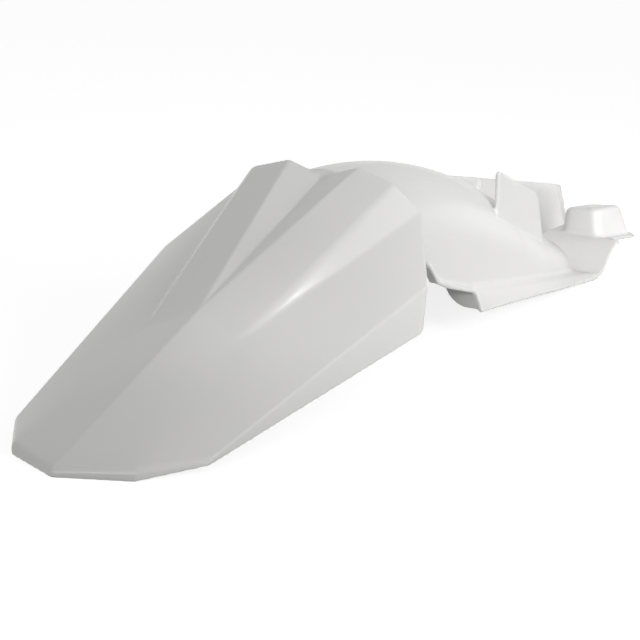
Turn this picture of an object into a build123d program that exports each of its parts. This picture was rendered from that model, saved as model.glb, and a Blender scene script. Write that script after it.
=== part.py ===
"""Rear fender of an off-road motorcycle: one moulded plastic shell.

+X points to the front of the motorcycle, +Y to its left and +Z up. The shell stands on the tip of its
tail and on its front corners. Stations along the fender are measured forward from the seam, the line
where the front edge of the tail stands over the wheel tunnel.
"""
import os
from math import sqrt

from build123d import *

# Overall sizes
wall = 3.0
tail_length = 279.0
nose_length = 436.0
seam_x = (tail_length - nose_length) / 2
below = -80.0
half_turn = 180.0
parallel = 0.001

# Tail roof: a ridge that climbs to the seam, with two flanks that fall to a crease on each side
ridge_tip_z = 5.0
ridge_seam_z = 122.0
crease_tip_y = 62.0
crease_seam_y = 105.0
flank_tip_drop = 14.4
flank_seam_drop = 39.0
knee_share = 0.66
knee_tip_drop = 5.5
knee_mid_slope = 0.29
knee_seam_drop = 18.0
ridge_bevel = 2.0
crease_bevel = 1.6

# Tail outline, seen from above and from the side
corner_back = 260.0
corner_half = 44.0
shoulder_back = 226.5
shoulder_half = 70.0
shoulder_bottom_z = 4.5
shoulder_lead = 5.0
rear_edge_sweep = 37.5
flank_front_back = 45.0
flank_front_z = 42.0
flank_corner = 8.0

# Twin peaks on the tail
peak_foot_back = 149.0
peak_foot_half = 33.5
peak_root_back = 127.0
peak_half = 25.8
peak_z = 130.3
peak_outer_half = 54.4
peak_round = 6.0
above = 2 * peak_z

# Wheel tunnel
tunnel_crown_z = 126.0
tunnel_half = 52.0
tunnel_rise = 58.0
tunnel_foot = 288.0
tunnel_foot_z = 9.0
tunnel_bend = 228.0
tunnel_sections = 6
web_half = 10.5
web_rise = 2.6

# Rounded front end of the tunnel
turn_station = 260.0
turn_half = 50.5
turn_crown_z = 42.0
bow_station = 275.0
bow_half = 43.5
bow_crown_z = 33.0
stem_station = 287.0
stem_half = 25.0
stem_crown_z = 18.0

# Lower edge of the tunnel behind its side skirts
flap_back = 45.0
flap_back_z = 63.0
flap_front = 57.0
flap_front_z = 49.0

# Side ledges and skirts of the tunnel
wing_back = 104.0
wing_front = 291.0
wing_half = 55.5
wing_flare = 5.0
ledge_back_z = 33.0
ledge_front_z = 5.5
ledge_back_pitch = 2.0
ledge_front_pitch = 0.0
skirt_back_z = 18.5
skirt_front_z = 1.5
skirt_round = 4.0
end_plate_width = 29.5
end_plate_lean = 4.0
end_plate_radius = 14.0
lip_half = 53.0

# Upright fin on the right and long wall on the left
fin_half = 42.0
fin_back = 156.5
fin_back_z = 103.7
fin_front = 217.0
fin_front_z = 77.0
fin_lean = 0.29
fin_corner = 5.0
nose_wall_back = 190.0
nose_wall_back_z = 87.5
nose_wall_front = 418.0
nose_wall_front_z = 40.0
nose_lip = 4.0
nose_rib_station = 283.0
nose_rib_reach = 4.0
nose_foot_width = 18.0

# Front deck and box
valley_radius = 8.0
valley_back = 280.0
deck_back = 311.0
deck_z = 26.0
deck_length = 68.0
deck_fall = 8.0
deck_inner = 8.0
deck_inner_front = 4.0
deck_waist = 50.0
deck_notch = 18.0
box_back = 317.0
box_length = 55.0
box_width = 33.5
box_outer = 45.5
box_height = 21.0
box_tilt = 0.08
box_top_length = 44.0
box_top_width = 28.5
box_top_shift = -3.5
box_corner = 8.0
box_top_bevel = 2.5

# Bolt holes for M6 screws
bolt_hole = 6.5
rear_bolt_half = 40.0
rear_bolt_z = 113.5
foot_bolt_station = 400.0


def along(station):
    """Return the X of a station that is measured forward from the seam."""
    return seam_x + station


def cross_plane(station):
    """Return the plane across the fender at a station."""
    return Plane.YZ.offset(along(station))


def ridge_z(station):
    """Return the height of the tail's centre line at a station."""
    return ridge_seam_z + (ridge_seam_z - ridge_tip_z) * station / tail_length


def crease_y(station):
    """Return the half width of the tail at its side crease."""
    return crease_seam_y + (crease_seam_y - crease_tip_y) * station / tail_length


def crease_z(station):
    """Return the height of the tail's side crease."""
    drop = flank_seam_drop + (flank_seam_drop - flank_tip_drop) * station / tail_length
    return ridge_z(station) - drop


def plane_through(a, b, c):
    """Return the plane through three corners, facing up."""
    normal = (b - a).cross(c - a)
    return Plane(origin=a, x_dir=b - a, z_dir=normal if normal.Z > 0 else -normal)


def height_on(plane, x, y):
    """Return the height of a plane over a point of the floor."""
    normal = plane.z_dir
    start = plane.origin
    return start.Z - (normal.X * (x - start.X) + normal.Y * (y - start.Y)) / normal.Z


# Corners and faces of the left peak
peak_root = Vector(along(-peak_root_back), 0, ridge_z(-peak_root_back))
peak_foot_z = ridge_z(-peak_foot_back) - knee_mid_slope * peak_foot_half
peak_foot = Vector(along(-peak_foot_back), peak_foot_half, peak_foot_z)
peak_top = Vector(along(0), peak_half, peak_z)
valley = Vector(along(0), 0, ridge_seam_z)
peak_plane = plane_through(peak_root, peak_foot, peak_top)
peak_edge = Vector(along(0), peak_outer_half, height_on(peak_plane, along(0), peak_outer_half))
band_foot_half = knee_share * crease_y(shoulder_lead)
band_foot = Vector(along(shoulder_lead), band_foot_half, ridge_z(shoulder_lead) - knee_seam_drop)
valley_plane = plane_through(peak_root, valley, peak_top)
band_plane = plane_through(peak_foot, peak_edge, band_foot)


def peak_form(inset):
    """Return one peak of the tail, with its three faces moved in by the inset."""
    with BuildPart() as form:
        with BuildSketch(Plane.XY.offset(ridge_tip_z)):
            with BuildLine():
                Polyline(
                    (along(-peak_foot_back - peak_foot_half), 0),
                    (along(2 * wall), 0),
                    (along(2 * wall), crease_seam_y),
                    (along(-peak_foot_back - peak_foot_half), crease_seam_y),
                    close=True,
                )
            make_face()
        extrude(amount=above)
        for plane in (peak_plane, valley_plane, band_plane):
            split(bisect_by=plane.offset(-inset), keep=Keep.BOTTOM)
        if not inset:
            for plane in (valley_plane, band_plane):
                run = peak_plane.z_dir.cross(plane.z_dir).normalized()
                fillet(edges().filter_by(lambda edge: (edge % 0).cross(run).length < parallel), peak_round)
    return form.part


def tail_form(inset):
    """Return the solid form of the tail, with every face moved in by the inset."""
    mid_drop = knee_mid_slope * knee_share * crease_y(-peak_foot_back)
    sections = (
        (-tail_length - wall, knee_tip_drop),
        (-peak_foot_back, mid_drop),
        (2 * wall, knee_seam_drop),
    )
    peak = peak_form(inset)
    rear_run = (corner_back - shoulder_back) / (shoulder_half - corner_half)
    front_run = (shoulder_lead + rear_edge_sweep) / (crease_y(-rear_edge_sweep) - band_foot_half)
    reach = crease_seam_y + tail_length / 10
    with BuildPart() as form:
        for station, knee_drop in sections:
            half = [
                (knee_share * crease_y(station), ridge_z(station) - knee_drop),
                (crease_y(station), crease_z(station)),
                (crease_y(station), below),
            ]
            with BuildSketch(cross_plane(station)):
                with BuildLine():
                    Polyline((0, ridge_z(station)), *half, *[(-y, z) for y, z in reversed(half)], close=True)
                make_face()
                if inset:
                    offset(amount=-inset, kind=Kind.INTERSECTION)
        loft()
        if not inset:
            for first, last, bevel in ((3, 5, crease_bevel), (0, 1, ridge_bevel)):
                runs = edges().filter_by(lambda edge: edge.length > tail_length and edge.center().Z > 0)
                chamfer(runs.sort_by(lambda edge: abs(edge.center().Y))[first:last], bevel)
        add(peak)
        add(mirror(peak, about=Plane.XZ, mode=Mode.PRIVATE))
        outline = [
            (along(-corner_back), corner_half),
            (along(-corner_back + rear_run * (reach - corner_half)), reach),
            (along(shoulder_lead - front_run * (reach - band_foot_half)), reach),
            (along(shoulder_lead), band_foot_half),
            (along(0), peak_outer_half),
        ]
        with BuildSketch(Plane.XY.offset(below)):
            with BuildLine():
                far_side = [(x, -y) for x, y in reversed(outline)]
                Polyline((along(-tail_length), 0), *outline, *far_side, close=True)
            make_face()
            if inset:
                offset(amount=-inset, kind=Kind.INTERSECTION)
        extrude(amount=above - below, mode=Mode.INTERSECT)
    return form.part


def ledge_z(station):
    """Return the height of the side ledge at a station."""
    run = (station - wing_back) / (wing_front - wing_back)
    return ledge_back_z + (ledge_front_z - ledge_back_z) * run


def crown_z(station):
    """Return the height of the tunnel's crown, an arc that leaves the seam level."""
    fall = tunnel_crown_z - tunnel_foot_z
    radius = (tunnel_foot**2 + fall**2) / (2 * fall)
    return tunnel_crown_z - radius + sqrt(radius**2 - station**2)


def arch_section(station, outer, crown, inset):
    """Return the section of the tunnel under an arch, with the arch moved in by the inset."""
    half = outer - inset
    rise = min(tunnel_rise, crown - ledge_z(station))
    spring = crown - rise - inset
    with BuildSketch(cross_plane(station)) as section:
        with BuildLine():
            EllipticalCenterArc((0, spring), half, rise, start_angle=0, arc_size=half_turn)
            Polyline((-half, spring), (-half, below), (half, below), (half, spring))
        make_face()
    return section.sketch


def tunnel_form(inset):
    """Return the solid form of the wheel tunnel and its rounded front end, moved in by the inset."""
    steps = [tunnel_bend * index / tunnel_sections for index in range(1, tunnel_sections + 1)]
    barrel = [arch_section(station, tunnel_half, crown_z(station), inset) for station in [-2 * inset, *steps]]
    nose = [
        barrel[-1],
        arch_section(turn_station, turn_half, turn_crown_z, inset),
        arch_section(bow_station, bow_half, bow_crown_z, inset),
        arch_section(stem_station - inset, stem_half, stem_crown_z, inset),
    ]
    with BuildPart() as form:
        loft(barrel)
        loft(nose)
    return form.part


def lip_section(station, outer, level, pitch):
    """Return the section of the left ledge alone, as wide as the outer edge asks."""
    inner = tunnel_half - wall / 2
    with BuildSketch(cross_plane(station)) as section:
        with BuildLine():
            Polyline(
                (inner, level + pitch),
                (outer, level),
                (outer, level - wall),
                (inner, level + pitch - wall),
                close=True,
            )
        make_face()
    return section.sketch


def wing_section(station, inner, bottom, pitch):
    """Return the section of the left ledge and skirt at a station."""
    level = ledge_z(station)
    with BuildSketch(cross_plane(station)) as section:
        with BuildLine():
            Polyline(
                (inner, level + pitch),
                (wing_half, level),
                (wing_half + wing_flare, bottom),
                (wing_half + wing_flare - wall, bottom),
                (wing_half - wall, level - wall),
                (inner, level + pitch - wall),
                close=True,
            )
        make_face()
        fillet(vertices().sort_by_distance((wing_half, level))[0], skirt_round)
    return section.sketch


# Tail: trimmed along its lower edge, hollowed, and opened to the tunnel
front_wall_z = crease_z(-rear_edge_sweep) - wall
with BuildPart() as tail:
    add(tail_form(0))
    with BuildSketch(Plane.XZ):
        with BuildLine():
            Polyline(
                (along(-tail_length - wall), 0),
                (along(-corner_back), 0),
                (along(-shoulder_back), shoulder_bottom_z),
                (along(-flank_front_back), flank_front_z),
                (along(-rear_edge_sweep - wall / 2), front_wall_z),
                (along(shoulder_lead + wall), front_wall_z),
                (along(shoulder_lead + wall), below),
                (along(-tail_length - wall), below),
                close=True,
            )
        make_face()
        fillet(vertices().sort_by_distance((along(-flank_front_back), flank_front_z))[0], flank_corner)
    extrude(amount=2 * crease_seam_y, both=True, mode=Mode.SUBTRACT)
    add(tail_form(wall), mode=Mode.SUBTRACT)
    mouth = arch_section(wall, tunnel_half, ridge_seam_z - wall, wall)
    extrude(to_extrude=mouth, amount=-3 * wall, mode=Mode.SUBTRACT)

# Short web between the end of the valley and the tunnel's crown
with BuildPart() as seam_web:
    with BuildSketch(cross_plane(-wall / 2)):
        with Locations((0, ridge_seam_z)):
            Rectangle(2 * web_half, 2 * web_rise)
    extrude(amount=wall)

# Tunnel as a solid form, trimmed along its lower edge
with BuildPart() as tunnel:
    add(tunnel_form(0))
    with BuildSketch(Plane.XZ):
        with BuildLine():
            Polyline(
                (along(-wall), front_wall_z + wall),
                (along(flap_back), flap_back_z),
                (along(flap_front), flap_front_z),
                (along(wing_back), ledge_back_z + ledge_back_pitch - wall / 2),
                (along(wing_front), ledge_front_z - wall / 2),
                (along(nose_length), ledge_front_z - wall / 2),
                (along(nose_length), below),
                (along(-wall), below),
                close=True,
            )
        make_face()
    extrude(amount=2 * tunnel_half, both=True, mode=Mode.SUBTRACT)

# Upright fin on the right of the tunnel
with BuildPart() as fin:
    with BuildSketch(Plane.XZ.offset(fin_half - wall / 2)):
        with BuildLine():
            depth = fin_back_z - ledge_back_z
            Polyline(
                (along(fin_back), fin_back_z - depth),
                (along(fin_back), fin_back_z),
                (along(fin_front), fin_front_z),
                (along(fin_front + fin_lean * depth), fin_front_z - depth),
                close=True,
            )
        make_face()
        fillet(vertices().group_by(Axis.Y)[-1] + vertices().group_by(Axis.Y)[-2], fin_corner)
    extrude(amount=wall)

# Long wall on the left, with its front lip, rib and foot
nose_wall_fall = (nose_wall_back_z - nose_wall_front_z) / (nose_wall_front - nose_wall_back)
with BuildPart() as nose_wall:
    with BuildSketch(Plane.XZ.offset(-fin_half - wall / 2)):
        with BuildLine():
            Polyline(
                (along(nose_wall_back - nose_wall_back_z / 3), 0),
                (along(nose_wall_back), nose_wall_back_z),
                (along(nose_wall_front), nose_wall_front_z),
                (along(nose_length), 0),
                close=True,
            )
        make_face()
    extrude(amount=wall)
    with BuildSketch(Plane.XZ.offset(-fin_half)):
        with BuildLine():
            Polyline(
                (along(nose_wall_front - wall), nose_wall_front_z),
                (along(nose_wall_front), nose_wall_front_z),
                (along(nose_length), 0),
                (along(nose_length - wall), 0),
                close=True,
            )
        make_face()
    extrude(amount=nose_lip)
    with BuildSketch(Plane.XZ.offset(-fin_half)):
        with BuildLine():
            top = nose_wall_back_z - nose_wall_fall * (nose_rib_station - nose_wall_back)
            Polyline(
                (along(nose_rib_station), ledge_front_z - wall / 2),
                (along(nose_rib_station), top),
                (along(nose_rib_station + wall), top - nose_rib_reach),
                (along(nose_rib_station + wall), ledge_front_z - wall / 2),
                close=True,
            )
        make_face()
    extrude(amount=nose_rib_reach)
    with BuildSketch(Plane.XY):
        with BuildLine():
            Polyline(
                (along(wing_front - wall), fin_half),
                (along(wing_front - wall), fin_half - nose_foot_width),
                (along(nose_length - nose_foot_width), fin_half - nose_foot_width),
                (along(nose_length), fin_half - nose_lip),
                (along(nose_length), fin_half),
                close=True,
            )
        make_face()
        with Locations((along(foot_bolt_station), fin_half - nose_foot_width / 2)):
            Circle(bolt_hole / 2, mode=Mode.SUBTRACT)
    extrude(amount=wall)

# Ledge and skirt on the left; the right side mirrors them
ledge_inner = tunnel_half - wall / 2
with BuildPart() as wing:
    loft([
        wing_section(wing_back, ledge_inner, skirt_back_z, ledge_back_pitch),
        wing_section(wing_front, deck_inner, skirt_front_z, ledge_front_pitch),
    ], ruled=True)
    loft([
        lip_section(flap_front, lip_half, flap_front_z, wall),
        lip_section(wing_back, wing_half, ledge_back_z, ledge_back_pitch),
    ], ruled=True)

# Plate that closes the back end of the left skirt
with BuildPart() as end_plate:
    with BuildSketch(cross_plane(wing_back)):
        with BuildLine():
            inner = wing_half + wing_flare - end_plate_width
            Polyline(
                (inner, ledge_back_z + ledge_back_pitch - wall),
                (tunnel_half, ledge_back_z + ledge_back_pitch - wall),
                (wing_half - wall / 2, ledge_back_z - wall / 2),
                (wing_half + wing_flare - wall / 2, skirt_back_z),
                (inner + end_plate_lean, skirt_back_z),
                close=True,
            )
        make_face()
        fillet(vertices().sort_by_distance((inner + end_plate_lean, skirt_back_z))[0], end_plate_radius)
    extrude(amount=wall)

# Deck on the right, bent up from the valley in front of the tunnel
valley_z = ledge_front_z - 2 * wall / 3
deck_outer = wing_half + wing_flare
with BuildPart() as deck:
    with BuildSketch(Plane.XZ):
        with BuildLine():
            FilletPolyline(
                (along(valley_back), valley_z),
                (along(wing_front), valley_z),
                (along(deck_back), deck_z - wall / 2),
                (along(deck_back + deck_length), deck_z - deck_fall - wall / 2),
                radius=valley_radius,
            )
        trace(line_width=wall)
    extrude(amount=deck_outer)
    with BuildSketch(Plane.XY):
        with BuildLine():
            Polyline(
                (along(deck_back + deck_notch / 2), -deck_outer - wall),
                (along(deck_back + deck_notch), -deck_waist),
                (along(deck_back + deck_length - deck_notch / 2), -deck_waist),
                (along(deck_back + deck_length + wall), -deck_waist + deck_notch / 2),
                (along(deck_back + deck_length + wall), -deck_outer - wall),
                close=True,
            )
        make_face()
        with BuildLine():
            Polyline(
                (along(valley_back - wall), -deck_outer - wall),
                (along(valley_back - wall), -wing_half),
                (along(wing_front - 2 * wing_flare), -wing_half),
                (along(wing_front), -deck_outer - wall),
                close=True,
            )
        make_face()
        with BuildLine():
            Polyline(
                (along(valley_back - wall), wall),
                (along(valley_back - wall), -deck_inner),
                (along(deck_back), -deck_inner),
                (along(deck_back + deck_length / 2), -deck_inner_front),
                (along(deck_back + deck_length + wall), -deck_inner_front),
                (along(deck_back + deck_length + wall), wall),
                close=True,
            )
        make_face()
    extrude(amount=above, mode=Mode.SUBTRACT)

# Hollow box that stands on the deck
deck_slope = deck_fall / deck_length
box_middle = box_back + box_length / 2
box_plane = Plane(
    origin=(along(box_middle), -box_outer + box_width / 2, deck_z - deck_slope * (box_middle - deck_back)),
    x_dir=(1, 0, -deck_slope),
    z_dir=(deck_slope, box_tilt, 1),
)
with BuildPart() as box:
    with BuildSketch(box_plane):
        RectangleRounded(box_length, box_width, box_corner)
    with BuildSketch(box_plane.offset(box_height)):
        with Locations((box_top_shift, 0)):
            RectangleRounded(box_top_length, box_top_width, box_corner)
    loft(ruled=True)
    chamfer(faces().sort_by(Axis.Z)[-1].edges(), box_top_bevel)
    with BuildSketch(box_plane):
        RectangleRounded(box_length, box_width, box_corner)
    extrude(amount=-wall / 2)

with BuildPart() as box_hollow:
    with BuildSketch(box_plane):
        RectangleRounded(box_length - 2 * wall, box_width - 2 * wall, box_corner - wall)
    with BuildSketch(box_plane.offset(box_height - wall)):
        with Locations((box_top_shift, 0)):
            RectangleRounded(box_top_length - 2 * wall, box_top_width - 2 * wall, box_corner - wall)
    loft(ruled=True)
    with BuildSketch(box_plane):
        RectangleRounded(box_length - 2 * wall, box_width - 2 * wall, box_corner - wall)
    extrude(amount=-2 * wall)

# Bolt holes through the wall at the seam
with BuildPart() as rear_bolts:
    with BuildSketch(cross_plane(wall)):
        with Locations((-rear_bolt_half, rear_bolt_z), (rear_bolt_half, rear_bolt_z)):
            Circle(bolt_hole / 2)
    extrude(amount=-3 * wall)

# The whole shell
with BuildPart() as rear_fender:
    add(tunnel)
    add(fin)
    add(nose_wall)
    add(wing)
    add(mirror(wing.part, about=Plane.XZ, mode=Mode.PRIVATE))
    add(deck)
    add(tunnel_form(wall), mode=Mode.SUBTRACT)
    add(tail)
    add(seam_web)
    add(end_plate)
    add(mirror(end_plate.part, about=Plane.XZ, mode=Mode.PRIVATE))
    add(box)
    add(box_hollow, mode=Mode.SUBTRACT)
    add(rear_bolts, mode=Mode.SUBTRACT)

rear_fender.part.label = "rear_fender"
os.makedirs("parts", exist_ok=True)
export_step(rear_fender.part, "parts/rear_fender.step")
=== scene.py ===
"""White moulded rear fender of an off-road motorcycle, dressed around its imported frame.

Lengths are in millimetres, but for the lamps and the studio, which are in metres. The frame is that of the
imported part: +X to the front of the motorcycle, +Y to its left, +Z up. Stations run forward from the seam,
where the tail ends over the tunnel.
"""
import logging
import math
from dataclasses import dataclass
from enum import Enum

import bmesh
import bpy
from mathutils import Matrix, Vector


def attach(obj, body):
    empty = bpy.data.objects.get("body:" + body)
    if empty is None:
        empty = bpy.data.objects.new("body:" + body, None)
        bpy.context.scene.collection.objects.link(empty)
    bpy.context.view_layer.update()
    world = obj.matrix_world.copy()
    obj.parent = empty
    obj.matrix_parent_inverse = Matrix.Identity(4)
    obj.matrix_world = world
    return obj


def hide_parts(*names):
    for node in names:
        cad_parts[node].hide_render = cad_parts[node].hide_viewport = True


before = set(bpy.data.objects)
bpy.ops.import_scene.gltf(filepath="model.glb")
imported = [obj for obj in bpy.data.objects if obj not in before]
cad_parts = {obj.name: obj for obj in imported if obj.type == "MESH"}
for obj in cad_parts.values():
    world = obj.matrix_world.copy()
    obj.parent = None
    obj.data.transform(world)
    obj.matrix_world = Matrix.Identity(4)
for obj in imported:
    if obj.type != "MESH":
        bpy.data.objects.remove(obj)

LOG = logging.getLogger("fender")
MM = 0.001
SEAM_X = -78.5
BODY = "root"
NODE = "rear_fender"
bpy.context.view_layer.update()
WHITE = (1.0, 1.0, 1.0, 1.0)

# Points nearer to each other than this count as one.
SAME = 0.01
# Points nearer to a line than this count as lying on it.
ON_LINE = 0.05
# A face looks in a direction when its normal has at least this share of it.
FACING = 0.9

Chain = list[Vector]
Knots = tuple[tuple[float, float], ...]
Outline = list[tuple[float, float]]
Point = tuple[float, float, float]
Modifiers = list[tuple[str, dict[str, object]]]


class Side(Enum):
    """Sides of the motorcycle, as the sign of Y."""

    LEFT = 1
    RIGHT = -1


def linear_colour(code: str) -> tuple[float, float, float, float]:
    """Turn an sRGB hex colour into linear light.

    Args:
        code: six hex digits with a leading hash sign.

    Returns:
        Linear red, green, blue and an alpha of one.
    """
    parts = [int(code[i:i + 2], 16) / 255 for i in (1, 3, 5)]
    lin = [c / 12.92 if c <= 0.04045 else ((c + 0.055) / 1.055) ** 2.4 for c in parts]
    return (lin[0], lin[1], lin[2], 1.0)


def add_node(
    tree: bpy.types.NodeTree, kind: str, settings: dict[str, object] | None = None, **links: object
) -> bpy.types.Node:
    """Add one shader node with its settings and links.

    Args:
        tree: node tree that takes the node.
        kind: Blender's type name of the node.
        settings: attributes to set on the node.
        links: input name, or n with the input's number, to a value or to an output socket.

    Returns:
        The new node.
    """
    node = tree.nodes.new(kind)
    for key, value in (settings or {}).items():
        setattr(node, key, value)
    for key, value in links.items():
        numbered = key.startswith("n")
        socket = node.inputs[int(key[1:]) if numbered else key.replace("_", " ")]
        if isinstance(value, bpy.types.NodeSocket):
            tree.links.new(value, socket)
        else:
            socket.default_value = value
    return node


def at(station: float, y: float, z: float) -> Vector:
    """Place a point by its station, side offset and height."""
    return Vector((SEAM_X + station, y, z))


def blend(points: Knots, x: float) -> float:
    """Read a value off a broken line.

    Args:
        points: places and values in rising order of place.
        x: the place to read at.

    Returns:
        The value there, held level past both ends.
    """
    if x <= points[0][0]:
        return points[0][1]
    for (x0, v0), (x1, v1) in zip(points, points[1:]):
        if x <= x1:
            return v0 + (v1 - v0) * (x - x0) / (x1 - x0)
    return points[-1][1]


def glide(points: Knots, x: float) -> float:
    """Read a value off a smooth line through points.

    Args:
        points: places and values in rising order of place.
        x: the place to read at.

    Returns:
        The value there, held level past both ends.
    """
    if not points[0][0] < x < points[-1][0]:
        return blend(points, x)
    after = next(i for i, (place, _) in enumerate(points) if place >= x)

    def slope(i: int) -> float:
        """Give the line's slope at one of its points."""
        (x0, v0), (x1, v1) = points[max(i - 1, 0)], points[min(i + 1, len(points) - 1)]
        return (v1 - v0) / (x1 - x0)

    (x0, v0), (x1, v1) = points[after - 1], points[after]
    span = x1 - x0
    u = (x - x0) / span
    rise = v1 - v0
    start, end = slope(after - 1) * span, slope(after) * span
    return v0 + start * u + (3 * rise - 2 * start - end) * u ** 2 + (start + end - 2 * rise) * u ** 3


def loft_sheet(bm: bmesh.types.BMesh, rows: list[Chain]) -> None:
    """Pull a sheet through rows of points by extruding one edge chain from row to row.

    Args:
        bm: mesh that takes the sheet.
        rows: rows of equally many points.
    """
    chain = [bm.verts.new(p) for p in rows[0]]
    edges = [bm.edges.new(pair) for pair in zip(chain, chain[1:])]
    for row in rows[1:]:
        grown = bmesh.ops.extrude_edge_only(bm, edges=edges)["geom"]
        fresh = {v for v in grown if isinstance(v, bmesh.types.BMVert)}
        ahead = []
        for vert, place in zip(chain, row):
            twin = next(e.other_vert(vert) for e in vert.link_edges if e.other_vert(vert) in fresh)
            twin.co = place
            ahead.append(twin)
        chain = ahead
        edges = [bm.edges.get(pair) for pair in zip(chain, chain[1:])]


def face_outward(bm: bmesh.types.BMesh, outward: Vector) -> None:
    """Turn all faces of a sheet to one side.

    Args:
        bm: the sheet.
        outward: direction that most of its faces should look in.
    """
    bmesh.ops.recalc_face_normals(bm, faces=bm.faces[:])
    bm.normal_update()
    lean = sum((f.normal.dot(outward) * f.calc_area() for f in bm.faces), 0.0)
    if lean < 0:
        bmesh.ops.reverse_faces(bm, faces=bm.faces[:])


def finish_mesh(bm: bmesh.types.BMesh, name: str, modifiers: Modifiers) -> bpy.types.Mesh:
    """Run modifiers over a bmesh and hand back the result as a mesh.

    Args:
        bm: the mesh to work on; it is freed.
        name: name of the new mesh.
        modifiers: modifier types with their settings, in order.

    Returns:
        The finished mesh.
    """
    mesh = bpy.data.meshes.new(name)
    bm.to_mesh(mesh)
    bm.free()
    holder = bpy.data.objects.new(name, mesh)
    bpy.context.scene.collection.objects.link(holder)
    for kind, settings in modifiers:
        modifier = holder.modifiers.new(kind.lower(), kind)
        for key, value in settings.items():
            setattr(modifier, key, value)
    bpy.context.view_layer.update()
    graph = bpy.context.evaluated_depsgraph_get()
    result = bpy.data.meshes.new_from_object(holder.evaluated_get(graph))
    bpy.data.objects.remove(holder)
    bpy.data.meshes.remove(mesh)
    return result


@dataclass(frozen=True)
class Wall:
    """Wall of the moulding."""

    thickness: float = 3.0

    def modifiers(self) -> Modifiers:
        """Give the modifier that turns an outer sheet into a wall."""
        solid = {"thickness": self.thickness, "offset": -1.0, "use_even_offset": True, "use_rim": True}
        return [("SOLIDIFY", solid)]


@dataclass
class WheelTunnel:
    """Arched barrel over the wheel, which falls to the front and ends in a blunt rounded nose."""

    wall: Wall
    half: float = 52.0
    crown: float = 126.0
    rise: float = 58.0
    foot: float = 288.0
    foot_z: float = 9.0
    bend: float = 200.0
    ledge: Knots = ((104.0, 33.0), (291.0, 5.5))
    arch_steps: int = 36
    row_step: float = 9.5
    nose_rows: int = 24
    nose_half: Knots = (
        (186.0, 52.0), (200.0, 52.0), (228.0, 51.8), (260.0, 48.6),
        (275.0, 41.2), (286.0, 24.5), (290.0, 11.0),
    )
    nose_crown: Knots = (
        (186.0, 81.7), (200.0, 74.3), (228.0, 55.8), (260.0, 38.3),
        (275.0, 32.2), (286.0, 20.6), (290.0, 12.5),
    )
    nose_power: Knots = ((0.0, 2.0), (150.0, 2.12), (228.0, 2.15), (260.0, 2.3))
    low_edge: Knots = ((0.0, 70.6), (45.0, 63.0), (57.0, 49.0), (104.0, 33.5), (291.0, 4.0))
    side_least: float = 1.0
    side_shares: tuple[float, ...] = (1.0, 0.66, 0.33)

    def ledge_z(self, station: float) -> float:
        """Height of the side ledge at a station."""
        (s0, z0), (s1, z1) = self.ledge
        return z0 + (z1 - z0) * (station - s0) / (s1 - s0)

    def crown_z(self, station: float) -> float:
        """Height of the crown at a station.

        Args:
            station: place along the fender.

        Returns:
            Height above the floor, on an arc behind the bend and on the nose's line in front of it.
        """
        if station > self.bend:
            return glide(self.nose_crown, station)
        fall = self.crown - self.foot_z
        radius = (self.foot ** 2 + fall ** 2) / (2 * fall)
        return self.crown - radius + math.sqrt(radius ** 2 - station ** 2)

    def half_at(self, station: float) -> float:
        """Half width of the barrel at a station."""
        return glide(self.nose_half, station)

    def spring(self, station: float) -> tuple[float, float]:
        """Find where the arch springs from the sides.

        Args:
            station: place along the fender.

        Returns:
            The height of the spring line, and the arch's rise above it.
        """
        crown = self.crown_z(station)
        rise = min(self.rise, crown - self.ledge_z(station))
        return crown - rise, rise

    def height(self, station: float, y: float) -> float:
        """Height of the barrel's outer face.

        Args:
            station: place along the fender.
            y: side offset, smaller than the half width.

        Returns:
            Height above the floor.
        """
        low, rise = self.spring(station)
        power = blend(self.nose_power, station)
        share = max(0.0, 1 - abs(y / self.half_at(station)) ** power) ** (1 / power)
        return low + rise * share

    def section(self, station: float) -> Chain:
        """Give the outer outline of the barrel at a station.

        Args:
            station: place along the fender.

        Returns:
            Points from its left foot over the arch to its right foot.
        """
        half = self.half_at(station)
        spring, rise = self.spring(station)
        low = min(blend(self.low_edge, station), spring - self.side_least)
        power = blend(self.nose_power, station)
        arch = []
        for step in range(self.arch_steps + 1):
            turn = math.pi * step / self.arch_steps
            c, s = math.cos(turn), math.sin(turn)
            y = half * math.copysign(abs(c) ** (2 / power), c)
            arch.append(at(station, y, spring + rise * abs(s) ** (2 / power)))
        feet = [spring + (low - spring) * share for share in self.side_shares]
        left = [at(station, half, z) for z in feet]
        right = [at(station, -half, z) for z in reversed(feet)]
        return left + arch + right

    def build(self) -> list[bpy.types.Mesh]:
        """Build the barrel's wall and close the front of its nose.

        Returns:
            The closed wall, in a list.
        """
        count = round(self.bend / self.row_step)
        end = self.nose_half[-1][0]
        stations = [self.bend * i / count for i in range(count)]
        stations += [self.bend + (end - self.bend) * i / self.nose_rows for i in range(self.nose_rows + 1)]
        bm = bmesh.new()
        loft_sheet(bm, [self.section(s) for s in stations])
        tip = SEAM_X + end - SAME
        front = [e for e in bm.edges if e.is_boundary and all(v.co.x > tip for v in e.verts)]
        bmesh.ops.contextual_create(bm, geom=front)
        face_outward(bm, Vector((0, 0, 1)))
        return [finish_mesh(bm, "tunnel", self.wall.modifiers())]


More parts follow.
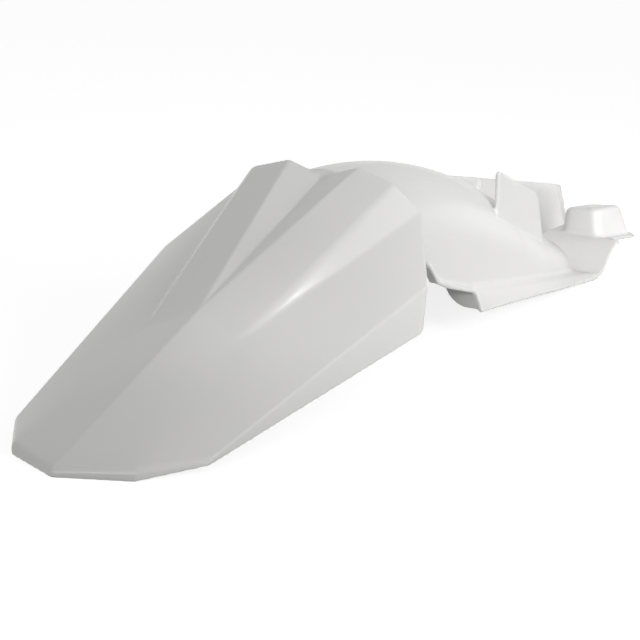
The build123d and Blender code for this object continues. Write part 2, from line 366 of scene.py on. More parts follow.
@dataclass
class Tail:
    """Faceted tail: a ridge, two raised peaks, flanks, side skirts and the wall over the tunnel."""

    wall: Wall
    tunnel: WheelTunnel
    length: float = 279.0
    ridge_tip: float = 5.0
    ridge_seam: float = 122.0
    crease_tip_y: float = 62.0
    crease_seam_y: float = 105.0
    flank_tip_drop: float = 14.4
    flank_seam_drop: float = 39.0
    corner: Point = (-260.0, 44.0, 7.0)
    shoulder: Point = (-226.5, 70.0, 4.5)
    peak_root: float = -138.0
    peak_foot: Point = (-149.0, 33.5, 49.8)
    peak_top: Point = (0.0, 25.8, 130.3)
    peak_edge: Point = (0.0, 54.4, 122.6)
    band_foot: Point = (5.0, 69.8, 106.1)
    sweep: float = 37.5
    skirt_front: tuple[float, float] = (-40.5, 42.0)
    skirt_corner: float = 4.0
    hem_round: float = 3.0
    front_wall_drop: float = 3.0
    front_least: float = 0.5
    front_slack: float = 0.5
    front_cuts: int = 8
    web_size: Point = (3.0, 23.0, 8.0)
    web_sink: float = 1.4
    flank_cuts: int = 7
    flank_rounds: int = 40
    outward: Point = (-0.3, 0.0, 1.0)

    def ridge_z(self, station: float) -> float:
        """Height of the centre line."""
        return self.ridge_seam + (self.ridge_seam - self.ridge_tip) * station / self.length

    def crease_y(self, station: float) -> float:
        """Half width at the side crease."""
        return self.crease_seam_y + (self.crease_seam_y - self.crease_tip_y) * station / self.length

    def crease_z(self, station: float) -> float:
        """Height of the side crease."""
        drop = self.flank_seam_drop + (self.flank_seam_drop - self.flank_tip_drop) * station / self.length
        return self.ridge_z(station) - drop

    def corners(self) -> dict[str, Vector]:
        """Name the corners of the left half.

        Returns:
            The corners' places by their names.
        """
        shoulder_s, shoulder_y, shoulder_low = self.shoulder
        corner_s, corner_y, corner_z = self.corner
        skirt_s, skirt_z = self.skirt_front
        return {
            "tip": at(-self.length, 0, self.ridge_tip),
            "tip_low": at(-self.length, 0, 0),
            "corner": at(corner_s, corner_y, corner_z),
            "corner_low": at(corner_s, corner_y, 0),
            "shoulder": at(shoulder_s, shoulder_y, self.crease_z(shoulder_s)),
            "shoulder_low": at(shoulder_s, shoulder_y, shoulder_low),
            "root": at(self.peak_root, 0, self.ridge_z(self.peak_root)),
            "valley": at(0, 0, self.ridge_seam),
            "foot": at(*self.peak_foot),
            "top": at(*self.peak_top),
            "edge": at(*self.peak_edge),
            "band": at(*self.band_foot),
            "hip": at(-self.sweep, self.crease_y(-self.sweep), self.crease_z(-self.sweep)),
            "skirt": at(skirt_s, self.crease_y(skirt_s), skirt_z),
        }

    def build(self) -> list[bpy.types.Mesh]:
        """Build the tail's wall, with its front wall over the tunnel.

        Returns:
            The closed wall and the web in its valley.
        """
        bm = bmesh.new()
        corners = self.corners()
        spots = {name: bm.verts.new(place) for name, place in corners.items()}

        def face(*names: str) -> bmesh.types.BMFace:
            """Add the face between named corners."""
            return bm.faces.new([spots[n] for n in names])

        flank = [
            face("tip", "root", "foot", "corner"),
            face("corner", "foot", "shoulder"),
            face("foot", "band", "hip", "shoulder"),
        ]
        face("root", "top", "edge", "foot")
        face("root", "valley", "top")
        face("foot", "edge", "band")
        face("shoulder", "hip", "skirt", "shoulder_low")
        face("tip", "corner", "corner_low", "tip_low")
        face("corner", "shoulder", "shoulder_low", "corner_low")
        self.smooth_flank(bm, flank)
        self.round_hem(bm)
        self.drop_front_wall(bm)
        low = min(bm.verts, key=lambda v: (v.co - corners["skirt"]).length)
        bmesh.ops.bevel(
            bm, geom=[low], offset=self.skirt_corner, affect="VERTICES", segments=4,
            profile=0.5, material=-1,
        )
        bmesh.ops.mirror(bm, geom=bm.verts[:] + bm.edges[:] + bm.faces[:], merge_dist=SAME, axis="Y")
        bmesh.ops.remove_doubles(bm, verts=bm.verts[:], dist=SAME)
        face_outward(bm, Vector(self.outward))
        return [finish_mesh(bm, "tail", self.wall.modifiers()), self.seam_web()]

    def seam_web(self) -> bpy.types.Mesh:
        """Build the short web that closes the valley's end against the tunnel's crown.

        Returns:
            The closed web.
        """
        bm = bmesh.new()
        bmesh.ops.create_cube(bm, size=1.0)
        bmesh.ops.scale(bm, vec=Vector(self.web_size), verts=bm.verts[:])
        middle = at(0, 0, self.tunnel.crown - self.web_size[2] / 2 - self.web_sink)
        bmesh.ops.translate(bm, vec=middle, verts=bm.verts[:])
        return finish_mesh(bm, "seam_web", [])

    def smooth_flank(self, bm: bmesh.types.BMesh, flank: list[bmesh.types.BMFace]) -> None:
        """Divide the flank's faces and relax them into one even surface.

        Args:
            bm: the tail's left half.
            flank: the faces of the flank.
        """
        edges = [e for e in bm.edges if any(f in flank for f in e.link_faces)]
        rim = [e for e in edges if sum(f in flank for f in e.link_faces) < 2]
        held = [(e.verts[0].co.copy(), e.verts[1].co.copy()) for e in rim]
        made = bmesh.ops.subdivide_edges(bm, edges=edges, cuts=self.flank_cuts, use_grid_fill=True)
        fresh = [v for v in made["geom_inner"] if isinstance(v, bmesh.types.BMVert)]
        loose = []
        for vert in fresh:
            gaps = [(vert.co - a).cross((b - a).normalized()).length for a, b in held]
            if min(gaps) > ON_LINE:
                loose.append(vert)
        for _ in range(self.flank_rounds):
            bmesh.ops.smooth_vert(
                bm, verts=loose, factor=0.5, use_axis_x=True, use_axis_y=True, use_axis_z=True
            )

    def round_hem(self, bm: bmesh.types.BMesh) -> None:
        """Round the top of the low wall around the tip and the outer crease of the peak.

        Args:
            bm: the tail's left half.
        """
        spots = self.corners()
        hem = []
        for first, last in (("tip", "corner"), ("corner", "shoulder"), ("foot", "edge")):
            a, b = spots[first], spots[last]
            way = (b - a).normalized()
            for edge in bm.edges:
                gaps = [(v.co - a).cross(way).length for v in edge.verts]
                reach = [(v.co - a).dot(way) for v in edge.verts]
                within = min(reach) > -ON_LINE and max(reach) < (b - a).length + ON_LINE
                if max(gaps) < ON_LINE and within:
                    hem.append(edge)
        bmesh.ops.bevel(
            bm, geom=hem, offset=self.hem_round, affect="EDGES", segments=4, profile=0.5, material=-1,
            clamp_overlap=True,
        )

    def drop_front_wall(self, bm: bmesh.types.BMesh) -> None:
        """Pull the front edge down to the tunnel, and to the lower edge beside it.

        Args:
            bm: the tail's left half.
        """
        behind = SEAM_X - self.front_slack
        upper = [e for e in bm.edges if e.is_boundary and all(v.co.x > behind for v in e.verts)]
        bmesh.ops.subdivide_edges(bm, edges=upper, cuts=self.front_cuts)
        chain = [e for e in bm.edges if e.is_boundary and self.on_front(e)]
        grown = bmesh.ops.extrude_edge_only(bm, edges=chain)["geom"]
        floor = self.crease_z(-self.sweep) - self.front_wall_drop
        for vert in grown:
            if isinstance(vert, bmesh.types.BMVert):
                y = vert.co.y
                inside = y < self.tunnel.half
                arch = self.tunnel.height(0, y) - self.wall.thickness / 2 if inside else floor
                vert.co.z = min(vert.co.z - self.front_least, max(arch, floor))

    def on_front(self, edge: bmesh.types.BMEdge) -> bool:
        """Say whether an edge lies on the tail's front edge.

        Args:
            edge: an edge of the tail's left half.

        Returns:
            True where both its ends do.
        """
        behind = SEAM_X - self.sweep - self.front_slack
        below = self.crease_z(-self.sweep) - self.front_slack
        return all(v.co.x > behind and v.co.z > below for v in edge.verts)


@dataclass
class SideWing:
    """Flared ledge and skirt along one side of the tunnel, with the lip behind it and its end plate."""

    wall: Wall
    tunnel: WheelTunnel
    back: float = 104.0
    front: float = 291.0
    half: float = 55.5
    flare: float = 5.2
    flare_depth: float = 5.0
    rows: int = 24
    skirt_z: Knots = ((104.0, 18.2), (188.0, 12.0), (244.0, 7.6), (288.5, 3.0))
    pitch: Knots = ((104.0, 2.0), (291.0, 0.0))
    overlap: float = 0.8
    fillet: float = 3.2
    fillet_growth: float = 0.22
    fillet_most: float = 2.2
    # Shares of the ledge's width, of its pitch and of the fillet, from the tunnel outward.
    ledge_shape: tuple[Point, ...] = (
        (0.0, 1.0, 1.0), (0.16, 1.0, 0.42), (0.36, 0.8, 0.14), (0.60, 0.4, 0.03),
    )
    # Distances inward from the ledge's edge and down from it.
    roll_shape: Knots = ((1.2, 0.5), (0.0, 1.8))
    roll_depth: float = 12.0
    # Shares of the flare and of the skirt's depth, downward to the hem.
    skirt_shape: Knots = ((0.22, 0.26), (0.6, 0.62), (0.88, 0.9))
    hem_flare: float = 1.12
    lip_back: float = 47.0
    lip_half: float = 53.2
    lip_inset: float = 2.0
    lip_z: Knots = ((47.0, 61.0), (57.0, 49.0), (70.0, 43.5), (104.0, 33.0))
    lip_rows: int = 12
    lip_drop: float = 1.2
    plate_width: float = 29.5
    plate_lean: float = 4.0
    plate_round: float = 14.0
    plate_shoulder: float = 1.5
    plate_inset: float = 1.2
    plate_lift: float = 0.2

    def section(self, station: float, outer: float, level: float, bottom: float) -> Chain:
        """Give the outline of the ledge and skirt on the left.

        Args:
            station: place along the fender.
            outer: half width of the ledge.
            level: height of the ledge's outer edge.
            bottom: height of the skirt's lower edge.

        Returns:
            Points from the tunnel's side out, over the rolled edge and down.
        """
        inner = self.tunnel.half_at(station) - self.overlap
        lift = blend(self.pitch, station)
        reach = outer - inner
        depth = level - bottom
        roll = min(1.0, depth / self.roll_depth)
        flare = self.flare * min(1.0, depth / self.flare_depth)
        spare = reach - self.half + self.tunnel.half
        fillet = min(self.fillet + self.fillet_growth * spare, self.fillet_most * self.fillet)
        outline = []
        for width, slope, bend in self.ledge_shape:
            outline.append((inner + width * reach, level + slope * lift + bend * fillet))
        outline += [(outer - inward, level - down * roll) for inward, down in self.roll_shape]
        outline += [(outer + out * flare, level - down * depth) for out, down in self.skirt_shape]
        outline.append((outer + self.hem_flare * flare, bottom))
        return [at(station, y, z) for y, z in outline]

    def build(self, side: Side) -> list[bpy.types.Mesh]:
        """Build one side's ledge, skirt, lip and end plate.

        Args:
            side: which side to build.

        Returns:
            The closed walls.
        """
        rows = []
        for i in range(self.rows + 1):
            s = self.back + (self.front - self.back) * i / self.rows
            rows.append(self.section(s, self.half, self.tunnel.ledge_z(s), blend(self.skirt_z, s)))
        lip_edge = ((self.lip_back, self.lip_half), (self.back, self.half - self.lip_inset))
        lip_rows = []
        for i in range(self.lip_rows + 1):
            s = self.lip_back + (self.back + self.wall.thickness - self.lip_back) * i / self.lip_rows
            outer = blend(lip_edge, s)
            level = blend(self.lip_z, s)
            lip_rows.append(self.section(s, outer, level, level - self.lip_drop))
        walls = []
        for name, chain_rows in (("wing", rows), ("lip", lip_rows)):
            bm = bmesh.new()
            loft_sheet(bm, chain_rows)
            face_outward(bm, Vector((0, 1, 1)))
            walls.append(self.place(bm, name, side))
        walls.append(self.end_plate(side))
        return walls

    def end_plate(self, side: Side) -> bpy.types.Mesh:
        """Build the plate that closes the back of the skirt.

        Args:
            side: which side to build.

        Returns:
            The closed wall.
        """
        level = self.tunnel.ledge_z(self.back)
        top = level + self.pitch[0][1] - self.wall.thickness / 2
        low = self.skirt_z[0][1] + self.plate_lift
        outer = self.half + self.flare
        inner = outer - self.plate_width
        outline = (
            (inner, top), (self.tunnel.half, top),
            (self.half - self.plate_shoulder, level - self.plate_shoulder),
            (outer - self.plate_inset, low), (inner + self.plate_lean, low),
        )
        bm = bmesh.new()
        verts = [bm.verts.new(at(self.back, y, z)) for y, z in outline]
        bm.faces.new(verts)
        bmesh.ops.bevel(
            bm, geom=[verts[-1]], offset=self.plate_round, affect="VERTICES", segments=8,
            profile=0.5, material=-1,
        )
        face_outward(bm, Vector((-1, 0, 0)))
        return self.place(bm, "end_plate", side)

    def place(self, bm: bmesh.types.BMesh, name: str, side: Side) -> bpy.types.Mesh:
        """Turn a left-hand sheet into a wall on the side that is asked for.

        Args:
            bm: the sheet; it is freed.
            name: name of the mesh.
            side: which side it goes to.

        Returns:
            The closed wall.
        """
        if side is Side.RIGHT:
            bmesh.ops.transform(bm, matrix=Matrix.Diagonal((1, -1, 1, 1)), verts=bm.verts[:])
            bmesh.ops.reverse_faces(bm, faces=bm.faces[:])
        return finish_mesh(bm, name, self.wall.modifiers())


@dataclass
class Fins:
    """Short upright fin on the right of the tunnel and the long wall on its left."""

    wall: Wall
    tunnel: WheelTunnel
    half: float = 42.0
    sink: float = 2.0
    fin_top: Knots = ((156.5, 104.1), (217.2, 77.3))
    fin_lean: float = 0.29
    fin_depth: float = 40.0
    fin_corner: float = 5.0
    fin_steps: int = 8
    nose_top: Knots = ((190.0, 87.7), (418.0, 40.3))
    nose_corners: tuple[float, float] = (4.0, 3.0)
    nose_back_foot: float = 176.0
    nose_seat_end: float = 268.0
    nose_heel: tuple[float, float] = (276.0, 2.0)
    nose_steps: int = 10
    nose_end: float = 436.0
    strip: float = 3.0
    lip_reach: float = 4.2
    rib_station: float = 283.0
    rib_reach: float = 4.0
    rib_lean: float = 0.3
    rib_foot: float = 3.0
    rib_drops: tuple[float, float] = (0.5, 1.5)
    foot_width: float = 18.0
    foot_back: float = 288.0

    def plate(self, outline: Outline, y: float, name: str, rounds: dict[int, float]) -> bpy.types.Mesh:
        """Build an upright plate along the fender.

        Args:
            outline: stations and heights of its corners.
            y: side offset of its middle.
            name: name of the mesh.
            rounds: corner number to rounding radius.

        Returns:
            The closed plate.
        """
        bm = bmesh.new()
        verts = [bm.verts.new(at(s, y, z)) for s, z in outline]
        bm.faces.new(verts)
        for number, radius in rounds.items():
            bmesh.ops.bevel(
                bm, geom=[verts[number]], offset=radius, affect="VERTICES", segments=5,
                profile=0.5, material=-1,
            )
        face_outward(bm, Vector((0, -1, 0)))
        solid = {"thickness": self.wall.thickness, "offset": 0.0}
        return finish_mesh(bm, name, [("SOLIDIFY", solid)])

    def seat(self, first: float, last: float, y: float, steps: int) -> Outline:
        """Follow the tunnel's outer face from one station to another, a little sunk in."""
        stations = [first + (last - first) * i / steps for i in range(steps + 1)]
        return [(s, self.tunnel.height(s, y) - self.sink) for s in stations]

    def build(self) -> list[bpy.types.Mesh]:
        """Build the fin, the long wall, its lip, its rib and its foot."""
        return [self.fin(), self.nose_wall(), self.nose_lip(), self.nose_rib(), self.nose_foot()]

    def fin(self) -> bpy.types.Mesh:
        """Build the short fin on the right.

        Returns:
            The closed plate.
        """
        (s0, z0), (s1, z1) = self.fin_top
        foot = s1 + self.fin_lean * self.fin_depth
        seat = self.seat(s0, foot, self.half, self.fin_steps)
        rounds = {0: self.fin_corner, 1: self.fin_corner}
        return self.plate([(s0, z0), (s1, z1)] + seat[::-1], -self.half, "fin", rounds)

    def nose_wall(self) -> bpy.types.Mesh:
        """Build the long wall on the left.

        Returns:
            The closed plate.
        """
        base = self.seat(self.nose_back_foot, self.nose_seat_end, self.half, self.nose_steps)
        base += [self.nose_heel, (self.foot_back, 0.0), (self.nose_end, 0.0)]
        rounds = dict(enumerate(self.nose_corners))
        return self.plate(list(self.nose_top) + base[::-1], self.half, "nose_wall", rounds)

    def nose_lip(self) -> bpy.types.Mesh:
        """Build the lip along the long wall's front edge.

        Returns:
            The closed strip.
        """
        station, height = self.nose_top[-1]
        edge = [
            (station - self.strip, height), (station, height),
            (self.nose_end, 0.0), (self.nose_end - self.strip, 0.0),
        ]
        return self.block(edge, self.half - self.lip_reach, self.half, "nose_lip")

    def nose_rib(self) -> bpy.types.Mesh:
        """Build the slanted rib on the long wall's inner face.

        Returns:
            The closed strip.
        """
        (s0, z0), (s1, z1) = self.nose_top
        slope = (z0 - z1) / (s1 - s0)
        top = z0 - slope * (self.rib_station - s0)
        back = self.rib_station - self.rib_lean * top
        back_drop, front_drop = self.rib_drops
        edge = [
            (back, self.rib_foot), (self.rib_station, top - back_drop),
            (self.rib_station + self.strip, top - front_drop), (back + self.strip, self.rib_foot),
        ]
        return self.block(edge, self.half - self.rib_reach, self.half, "nose_rib")

    def nose_foot(self) -> bpy.types.Mesh:
        """Build the foot that turns inward from the long wall's lower edge.

        Returns:
            The closed wall.
        """
        inner = self.half - self.foot_width
        outline = (
            (self.foot_back, self.half), (self.foot_back, inner), (self.nose_end - self.foot_width, inner),
            (self.nose_end, self.half - self.lip_reach), (self.nose_end, self.half),
        )
        bm = bmesh.new()
        bm.faces.new([bm.verts.new(at(s, y, self.wall.thickness)) for s, y in outline])
        face_outward(bm, Vector((0, 0, 1)))
        return finish_mesh(bm, "nose_foot", self.wall.modifiers())

    def block(self, edge: Outline, y0: float, y1: float, name: str) -> bpy.types.Mesh:
        """Build a solid strip.

        Args:
            edge: stations and heights of its outline.
            y0: side offset of its inner face.
            y1: side offset of its outer face.
            name: name of the mesh.

        Returns:
            The closed strip.
        """
        bm = bmesh.new()
        face = bm.faces.new([bm.verts.new(at(s, y0, z)) for s, z in edge])
        grown = bmesh.ops.extrude_face_region(bm, geom=[face])["geom"]
        verts = [v for v in grown if isinstance(v, bmesh.types.BMVert)]
        bmesh.ops.translate(bm, vec=Vector((0, y1 - y0, 0)), verts=verts)
        bmesh.ops.recalc_face_normals(bm, faces=bm.faces[:])
        return finish_mesh(bm, name, [])


@dataclass
class FrontDeck:
    """Valley, ramp and deck on the right, with the hollow box that stands on it."""

    wall: Wall
    back: float = 311.0
    level: float = 26.0
    length: float = 68.0
    fall: float = 8.0
    path: Knots = (
        (279.0, 5.8), (284.0, 5.6), (288.0, 6.1), (291.0, 7.3), (294.0, 9.4), (297.0, 12.0), (300.0, 15.0),
        (303.0, 17.9), (306.0, 20.5), (309.0, 22.7), (312.0, 24.3), (315.0, 25.3), (318.0, 25.4),
    )
    past: tuple[float, ...] = (320.0, 324.5, 329.0, 340.0, 350.0, 360.0, 370.0, 374.5, 379.0)
    right_edge: Knots = (
        (279.0, 54.0), (285.0, 58.6), (289.0, 60.8), (320.0, 60.8),
        (329.0, 50.2), (370.0, 50.2), (379.0, 41.8),
    )
    left_edge: Knots = ((311.0, 1.5), (346.0, 2.0), (379.0, 3.0))
    left_lift: Knots = (
        (286.0, 15.0), (294.0, 14.0), (300.0, 10.5), (305.0, 6.0),
        (310.0, 2.2), (315.0, 0.8), (330.0, 2.4), (346.0, 4.5),
    )
    lift_power: float = 1.6
    across: int = 8
    rim_out: float = 0.9
    rim_drop: float = 1.8
    box_back: float = 317.0
    box_size: Point = (55.0, 33.5, 21.0)
    box_top: tuple[float, float] = (44.0, 28.5)
    box_shift: float = -3.5
    box_outer: float = 45.5
    box_tilt: float = 0.08
    box_corner: float = 7.0
    box_round: float = 3.6
    box_brim: float = 1.3

    def deck_z(self, station: float) -> float:
        """Height of the deck, which falls to the front."""
        return self.level - self.fall * (station - self.back) / self.length

    def rows(self) -> list[Chain]:
        """Give rows of points across the valley, ramp and deck.

        Returns:
            Rows from back to front, each from the left edge to the right rim.
        """
        shares = [i / self.across for i in range(self.across + 1)]
        rows = []
        for s in [place for place, _ in self.path] + list(self.past):
            z = blend(self.path, s) if s <= self.path[-1][0] else self.deck_z(s)
            right = blend(self.right_edge, s)
            left = blend(self.left_edge, s)
            lift = blend(self.left_lift, s)
            row = []
            for share in shares:
                y = left + (right - left) * share
                row.append(at(s, -y, z + lift * (1 - share) ** self.lift_power))
            rows.append(row + [at(s, -right - self.rim_out, z - self.rim_drop)])
        end = Vector((self.rim_out, 0, -self.rim_drop))
        rows.append([point + end for point in rows[-1]])
        return rows

    def build(self) -> list[bpy.types.Mesh]:
        """Build the deck and the box.

        Returns:
            The closed walls.
        """
        bm = bmesh.new()
        loft_sheet(bm, self.rows())
        face_outward(bm, Vector((0, 0, 1)))
        return [finish_mesh(bm, "deck", self.wall.modifiers()), self.box()]

    def box(self) -> bpy.types.Mesh:
        """Build the drafted box, open below, with a small brim where it meets the sloping deck.

        Returns:
            The closed wall.
        """
        length, width, height = self.box_size
        top_length, top_width = self.box_top
        middle = self.box_back + length / 2
        bm = bmesh.new()
        bmesh.ops.create_cube(bm, size=1.0)
        bmesh.ops.translate(bm, vec=Vector((0, 0, 0.5)), verts=bm.verts[:])
        bmesh.ops.scale(bm, vec=Vector((length, width, height)), verts=bm.verts[:])
        top = [v for v in bm.verts if v.co.z > height / 2]
        bmesh.ops.scale(bm, vec=Vector((top_length / length, top_width / width, 1)), verts=top)
        bmesh.ops.translate(bm, vec=Vector((self.box_shift, 0, 0)), verts=top)
        upright = [e for e in bm.edges if abs(e.verts[0].co.z - e.verts[1].co.z) > height / 2]
        bmesh.ops.bevel(
            bm, geom=upright, offset=self.box_corner, affect="EDGES", segments=6,
            profile=0.5, material=-1,
        )
        bm.normal_update()
        crown = [f for f in bm.faces if f.normal.z > FACING]
        edges = [e for e in bm.edges if any(f in crown for f in e.link_faces)]
        bmesh.ops.bevel(
            bm, geom=edges, offset=self.box_round, affect="EDGES", segments=4,
            profile=0.5, material=-1,
        )
        bm.normal_update()
        base = [f for f in bm.faces if f.normal.z < -FACING]
        bmesh.ops.delete(bm, geom=base, context="FACES")
        rim = [v for v in bm.verts if v.co.z < SAME]
        bmesh.ops.translate(bm, vec=Vector((0, 0, self.box_brim)), verts=rim)
        grown = bmesh.ops.extrude_edge_only(bm, edges=[e for e in bm.edges if e.is_boundary])["geom"]
        brim = [v for v in grown if isinstance(v, bmesh.types.BMVert)]
        spread = Vector((1 + self.box_brim / length, 1 + self.box_brim / width, 1))
        bmesh.ops.scale(bm, vec=spread, verts=brim)
        bmesh.ops.translate(bm, vec=Vector((0, 0, -self.box_brim)), verts=brim)
        slope = Matrix.Rotation(math.atan(self.fall / self.length), 4, "Y")
        tilt = Matrix.Rotation(-math.atan(self.box_tilt), 4, "X")
        place = Matrix.Translation(at(middle, -self.box_outer + width / 2, self.deck_z(middle)))
        bmesh.ops.transform(bm, matrix=place @ slope @ tilt, verts=bm.verts[:])
        face_outward(bm, Vector((0, 0, 1)))
        return finish_mesh(bm, "box", self.wall.modifiers())


@dataclass(frozen=True)
class WhitePolypropylene:
    """Injection-moulded white polypropylene: bright, slightly warm, with its tool's soft satin gloss."""

    name: str = "white_moulded_polypropylene"
    colour: str = "#EEEDEB"
    shade: str = "#E8E8E8"
    roughness: float = 0.22
    roughness_swing: float = 0.03
    ior: float = 1.49
    flow_mm: float = 70.0
    flow_range: tuple[float, float] = (0.3, 0.7)
    grain_mm: float = 1.1
    grain_height_mm: float = 0.012
    grain_strength: float = 0.35

    def material(self) -> bpy.types.Material:
        """Make the material from the piece's own coordinates.

        Returns:
            The new material.
        """
        made = bpy.data.materials.new(self.name)
        made.use_nodes = True
        tree = made.node_tree
        tree.nodes.clear()
        spot = add_node(tree, "ShaderNodeTexCoord").outputs["Object"]
        # Slow flow marks of the melt: a faint change of tone and of gloss across the moulding.
        flow = add_node(tree, "ShaderNodeTexNoise", Vector=spot, Scale=1 / (self.flow_mm * MM), Detail=2.0)
        tone = add_node(
            tree, "ShaderNodeMix", {"data_type": "RGBA"}, n0=flow.outputs["Fac"],
            n6=linear_colour(self.shade), n7=linear_colour(self.colour),
        )
        low, high = self.flow_range
        gloss = add_node(
            tree, "ShaderNodeMapRange", n0=flow.outputs["Fac"], n1=low, n2=high,
            n3=self.roughness - self.roughness_swing, n4=self.roughness + self.roughness_swing,
        )
        # Fine spark-eroded grain of the tool, drawn a little coarser than real so that it shows.
        grain = add_node(
            tree, "ShaderNodeTexNoise", Vector=spot, Scale=1 / (self.grain_mm * MM), Detail=3.0
        )
        bump = add_node(
            tree, "ShaderNodeBump", Strength=self.grain_strength, Distance=self.grain_height_mm * MM,
            Height=grain.outputs["Fac"],
        )
        shader = add_node(
            tree, "ShaderNodeBsdfPrincipled", Base_Color=tone.outputs[2], Roughness=gloss.outputs[0],
            IOR=self.ior, Normal=bump.outputs["Normal"],
        )
        add_node(tree, "ShaderNodeOutputMaterial", Surface=shader.outputs["BSDF"])
        return made


@dataclass
class Moulding:
    """The whole shell: joined walls, melted into one skin with small fillets, drilled and dressed."""

    name: str = "fender_moulding"
    voxel: float = 0.95
    smoothing: int = 4
    ratio: float = 0.21
    weld: float = 0.02
    hole: float = 6.5
    wall_holes: tuple[Point, ...] = ((0.0, 40.0, 113.5), (0.0, -40.0, 113.5))
    foot_hole: Point = (400.0, 33.0, 1.5)
    drill_depth: float = 16.0

    def drill(self) -> bpy.types.Object:
        """Make the drill that cuts the bolt holes.

        Returns:
            The drill, in metres.
        """
        bm = bmesh.new()
        ahead = Matrix.Rotation(math.pi / 2, 4, "Y")
        turns = [Matrix.Translation(at(*spot)) @ ahead for spot in self.wall_holes]
        turns.append(Matrix.Translation(at(*self.foot_hole)))
        for turn in turns:
            bmesh.ops.create_cone(
                bm, cap_ends=True, segments=40, radius1=self.hole / 2, radius2=self.hole / 2,
                depth=self.drill_depth, matrix=turn,
            )
        bmesh.ops.scale(bm, vec=Vector((MM, MM, MM)), verts=bm.verts[:])
        mesh = bpy.data.meshes.new("drill")
        bm.to_mesh(mesh)
        bm.free()
        tool = bpy.data.objects.new("drill", mesh)
        bpy.context.scene.collection.objects.link(tool)
        return tool

    def clean(self, skin: bpy.types.Mesh) -> None:
        """Weld slivers away, leave triangles and report the edges that are open.

        Args:
            skin: the melted and drilled mesh.
        """
        bm = bmesh.new()
        bm.from_mesh(skin)
        bmesh.ops.triangulate(bm, faces=bm.faces[:])
        bmesh.ops.remove_doubles(bm, verts=bm.verts[:], dist=self.weld * MM)
        bmesh.ops.dissolve_degenerate(bm, edges=bm.edges[:], dist=self.weld * MM)
        LOG.info("skin: %d open edges", sum(e.is_boundary for e in bm.edges))
        bm.to_mesh(skin)
        bm.free()

    def build(self, walls: list[bpy.types.Mesh], finish: WhitePolypropylene) -> bpy.types.Object:
        """Join the walls into one piece.

        Args:
            walls: closed walls of the sub-assemblies.
            finish: material of the piece.

        Returns:
            The dressed piece, riding on the body.
        """
        bm = bmesh.new()
        for mesh in walls:
            bm.from_mesh(mesh)
            bpy.data.meshes.remove(mesh)
        bmesh.ops.scale(bm, vec=Vector((MM, MM, MM)), verts=bm.verts[:])
        drill = self.drill()
        skin = finish_mesh(bm, self.name, [
            ("REMESH", {"mode": "VOXEL", "voxel_size": self.voxel * MM, "adaptivity": 0.0}),
            ("SMOOTH", {"factor": 0.5, "iterations": self.smoothing}),
            ("DECIMATE", {"ratio": self.ratio}),
            ("BOOLEAN", {"operation": "DIFFERENCE", "solver": "EXACT", "object": drill}),
        ])
        bpy.data.objects.remove(drill)
        self.clean(skin)
        piece = bpy.data.objects.new(self.name, skin)
        bpy.context.scene.collection.objects.link(piece)
        skin.polygons.foreach_set("use_smooth", [True] * len(skin.polygons))
        skin.materials.clear()
        skin.materials.append(finish.material())
        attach(piece, BODY)
        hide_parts(NODE)
        LOG.info("%s: %d faces", piece.name, len(skin.polygons))
        return piece


@dataclass(frozen=True)
class Lamp:
    """Soft square lamp: places and size in metres, beam in degrees, power in watts."""

    name: str
    spot: Point
    size: float
    beam: float
    power: float
    aim: Point = (0.2, -0.03, 0.05)

    def build(self) -> None:
        """Hang the lamp and turn it to its aim."""
        data = bpy.data.lights.new(self.name, "AREA")
        data.size = self.size
        data.spread = math.radians(self.beam)
        data.energy = self.power
        lamp = bpy.data.objects.new(self.name, data)
        bpy.context.scene.collection.objects.link(lamp)
        lamp.location = self.spot
        lamp.rotation_mode = "QUATERNION"
        lamp.rotation_quaternion = (Vector(self.aim) - Vector(self.spot)).to_track_quat("-Z", "Y")


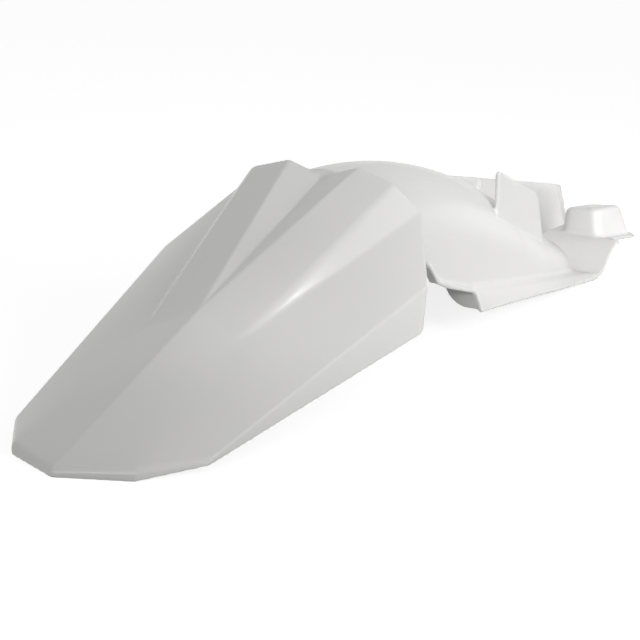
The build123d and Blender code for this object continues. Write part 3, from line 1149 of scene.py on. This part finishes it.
@dataclass
class Studio:
    """Pale floor, soft light and the camera at the photograph's angle."""

    camera_mm: Point = (-1242.63, -741.11, 397.66)
    sight: Point = (0.81379777, 0.51987912, -0.25972849)
    lens_mm: float = 123.75
    sensor_mm: float = 36.0
    near: float = 0.05
    far: float = 50.0
    floor_half: float = 6.0
    floor_colour: str = "#BDBDBD"
    floor_glow: float = 0.8
    sky: float = 0.33
    lamps: tuple[Lamp, ...] = (
        Lamp("key", (-0.15, -0.75, 0.35), size=0.4, beam=180.0, power=1.65),
        Lamp("side", (-0.3, -1.2, 0.5), size=0.5, beam=40.0, power=0.48),
        Lamp("back", (-1.3, -0.3, 0.35), size=0.5, beam=40.0, power=0.16),
        Lamp("rim", (1.5, -0.45, 0.22), size=0.5, beam=90.0, power=0.12),
        Lamp("glint", (0.01, -0.87, 0.88), size=0.06, beam=5.0, power=0.0018, aim=(-0.212, -0.036, 0.055)),
        Lamp("front", (-0.35, -1.2, 0.1), size=0.1, beam=7.0, power=0.012, aim=(0.275, -0.03, 0.03)),
    )

    def build(self) -> None:
        """Make the floor, the light and the camera."""
        self.floor()
        self.world()
        for lamp in self.lamps:
            lamp.build()
        self.camera()
        bpy.context.scene.view_settings.view_transform = "Standard"

    def camera(self) -> None:
        """Place the camera where the photograph was taken from."""
        data = bpy.data.cameras.new("camera")
        data.lens = self.lens_mm
        data.sensor_width = self.sensor_mm
        data.clip_start = self.near
        data.clip_end = self.far
        camera = bpy.data.objects.new("camera", data)
        bpy.context.scene.collection.objects.link(camera)
        camera.location = Vector(self.camera_mm) * MM
        camera.rotation_mode = "QUATERNION"
        camera.rotation_quaternion = Vector(self.sight).to_track_quat("-Z", "Y")
        bpy.context.scene.camera = camera

    def floor(self) -> None:
        """Make a pale floor that keeps the shadow and reads as white to the camera."""
        bm = bmesh.new()
        bmesh.ops.create_grid(bm, x_segments=1, y_segments=1, size=self.floor_half)
        mesh = bpy.data.meshes.new("floor")
        bm.to_mesh(mesh)
        bm.free()
        floor = bpy.data.objects.new("floor", mesh)
        bpy.context.scene.collection.objects.link(floor)
        made = bpy.data.materials.new("pale_floor")
        made.use_nodes = True
        tree = made.node_tree
        tree.nodes.clear()
        paint = add_node(tree, "ShaderNodeBsdfDiffuse", Color=linear_colour(self.floor_colour))
        seen = add_node(
            tree, "ShaderNodeMath", {"operation": "MULTIPLY"}, n0=self.looked_at(tree), n1=self.floor_glow
        )
        glow = add_node(tree, "ShaderNodeEmission", Color=WHITE, Strength=seen.outputs[0])
        both = add_node(tree, "ShaderNodeAddShader", n0=paint.outputs[0], n1=glow.outputs[0])
        add_node(tree, "ShaderNodeOutputMaterial", Surface=both.outputs[0])
        mesh.materials.append(made)

    def looked_at(self, tree: bpy.types.NodeTree) -> bpy.types.NodeSocket:
        """Tell the rays that look at the surround from those that it lights.

        Args:
            tree: node tree that takes the nodes.

        Returns:
            One for camera, glossy and transmission rays, else zero.
        """
        path = add_node(tree, "ShaderNodeLightPath")
        direct = add_node(
            tree, "ShaderNodeMath", {"operation": "MAXIMUM"},
            n0=path.outputs["Is Camera Ray"], n1=path.outputs["Is Glossy Ray"],
        )
        seen = add_node(
            tree, "ShaderNodeMath", {"operation": "MAXIMUM"},
            n0=direct.outputs[0], n1=path.outputs["Is Transmission Ray"],
        )
        return seen.outputs[0]

    def world(self) -> None:
        """Make an even white surround that lights the object gently."""
        world = bpy.data.worlds.new("studio")
        bpy.context.scene.world = world
        world.use_nodes = True
        tree = world.node_tree
        tree.nodes.clear()
        soft = add_node(tree, "ShaderNodeBackground", Color=WHITE, Strength=self.sky)
        white = add_node(tree, "ShaderNodeBackground", Color=WHITE, Strength=1.0)
        both = add_node(
            tree, "ShaderNodeMixShader", n0=self.looked_at(tree), n1=soft.outputs[0], n2=white.outputs[0]
        )
        add_node(tree, "ShaderNodeOutputWorld", Surface=both.outputs[0])


def main() -> None:
    """Build the fender and its studio in order."""
    logging.basicConfig(level=logging.INFO, format="%(name)s: %(message)s")
    wall = Wall()
    tunnel = WheelTunnel(wall)
    wings = SideWing(wall, tunnel)
    walls = Tail(wall, tunnel).build() + tunnel.build()
    walls += wings.build(Side.LEFT) + wings.build(Side.RIGHT)
    walls += Fins(wall, tunnel).build() + FrontDeck(wall).build()
    for mesh in walls:
        LOG.info("%s: %d faces", mesh.name, len(mesh.polygons))
    Moulding().build(walls, WhitePolypropylene())
    Studio().build()


if __name__ == "__main__":
    main()
